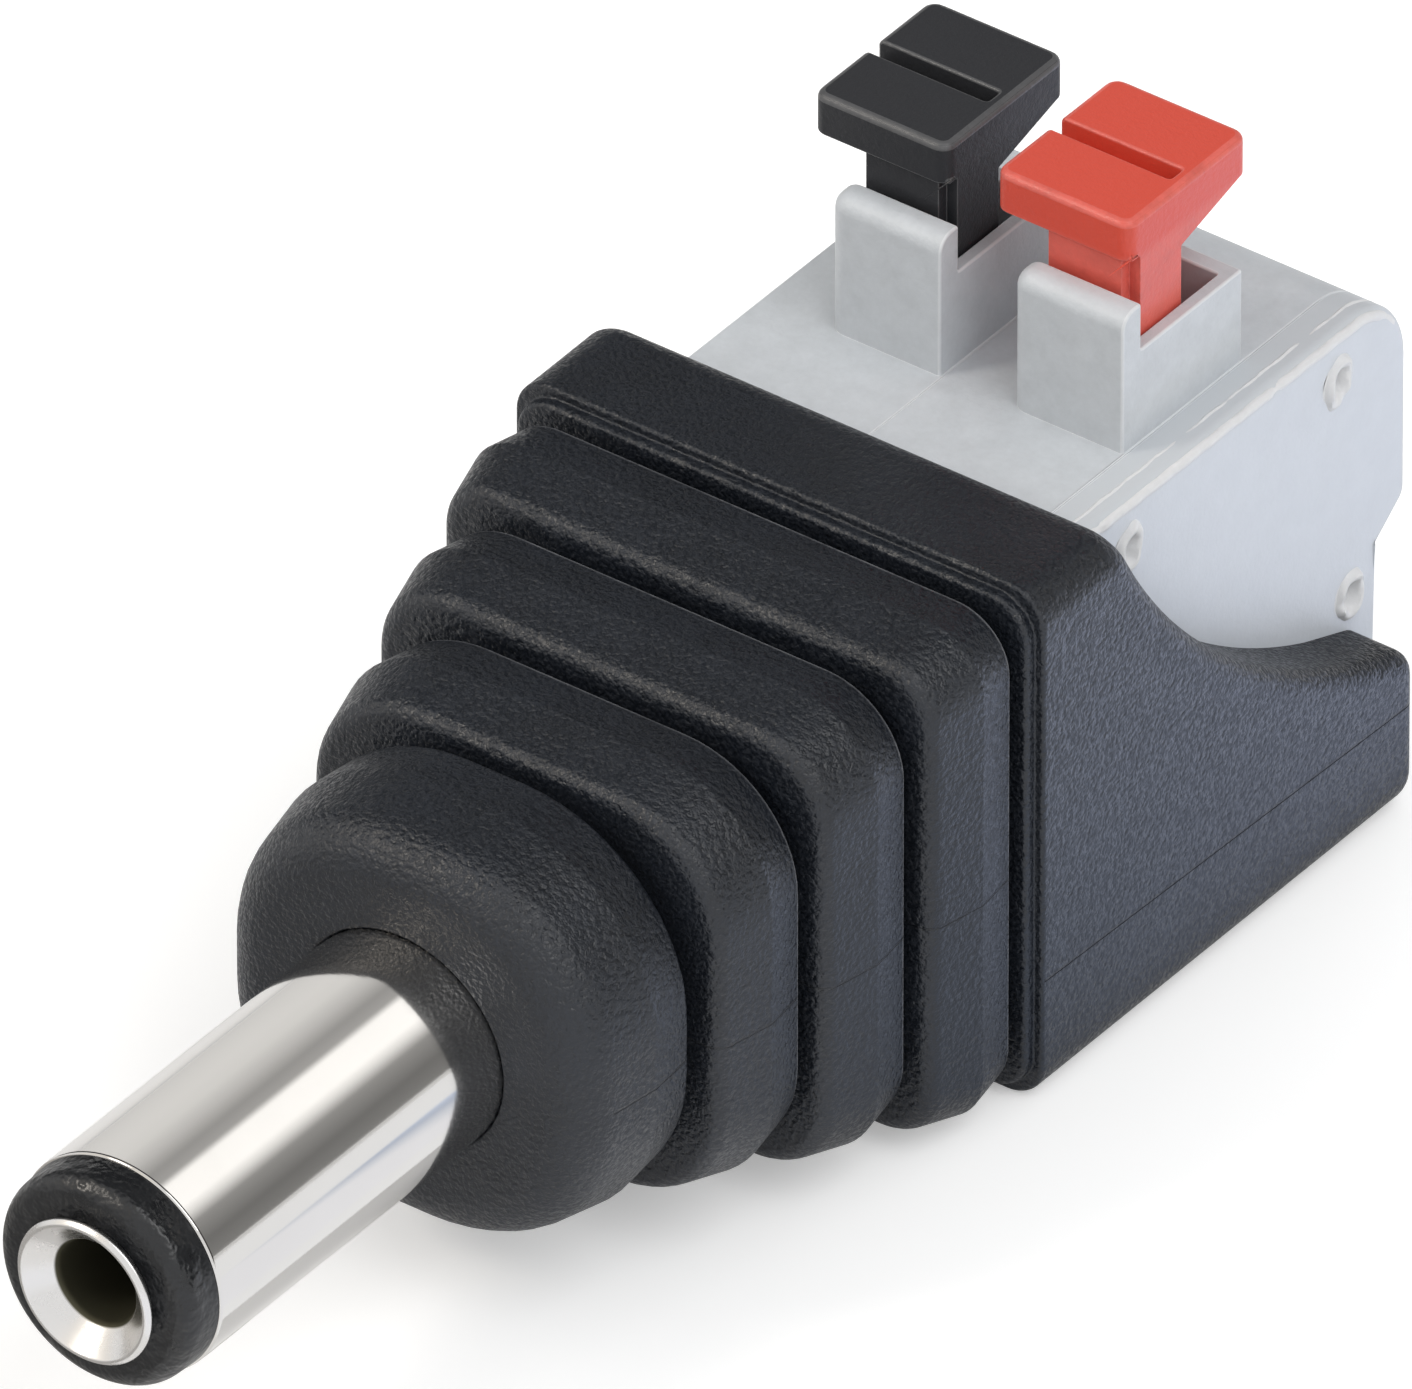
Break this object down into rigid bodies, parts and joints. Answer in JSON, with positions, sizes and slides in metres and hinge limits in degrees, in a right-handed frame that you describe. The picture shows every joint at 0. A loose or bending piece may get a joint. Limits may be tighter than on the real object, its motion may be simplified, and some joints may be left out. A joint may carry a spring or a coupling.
{
  "type": "dc barrel plug with push-button terminals",
  "caption": "Straight DC barrel plug, a ribbed overmoulded housing with a tub at its rear that holds a push-button spring terminal block for the bare leads.",
  "frame": {"origin": "on the barrel's axis where the sleeve leaves the housing's nose", "axes": "-Y out of the barrel, +Y to the wire entries, +Z to the push buttons, +X to the block's end plate"},
  "size_m": [0.0144, 0.0418, 0.0181],
  "materials": {
    "housing_black": "soft black PVC moulding with a fine leathery grain",
    "insulator_black": "glossy black insulator",
    "sleeve_nickel": "bright nickel plate, turned",
    "contact_nickel": "bright nickel plate, turned and flared",
    "washer_natural": "natural nylon",
    "lug_tin": "tinned brass strip",
    "solder": "bright solder",
    "bar_copper": "tinned copper bar",
    "spring_steel": "stainless spring steel",
    "block_grey": "light grey polyamide",
    "plate_grey": "light grey polyamide, slightly bluer",
    "button_black": "black polyamide",
    "button_red": "red-orange polyamide"
  },
  "bodies": {
    "plug": {"housing": "housing_black", "contact_sleeve": "sleeve_nickel", "tip_insulator": "insulator_black", "centre_contact": "contact_nickel", "rear_washer": "washer_natural", "sleeve_lug": "lug_tin", "centre_lug": "lug_tin", "solder_joint_negative": "solder", "solder_joint_positive": "solder", "contact_bar_negative": "bar_copper", "contact_bar_positive": "bar_copper", "clamp_spring_negative": "spring_steel", "clamp_spring_positive": "spring_steel", "terminal_body_negative": "block_grey", "terminal_body_positive": "block_grey", "end_plate": "plate_grey"},
    "black_button": {"push_button_negative": "button_black"},
    "red_button": {"push_button_positive": "button_red"}
  },
  "joints": [
    {"name": "black_press", "type": "slide", "parent": "plug", "child": "black_button", "axis": [0, 0, -1], "range_m": [0, 0.0013], "stiffness_N_per_m": 2000, "springref_m": -0.0004, "deforming": ["clamp_spring_negative"]},
    {"name": "red_press", "type": "slide", "parent": "plug", "child": "red_button", "axis": [0, 0, -1], "range_m": [0, 0.0013], "stiffness_N_per_m": 2000, "springref_m": -0.0004, "deforming": ["clamp_spring_positive"]}
  ]
}
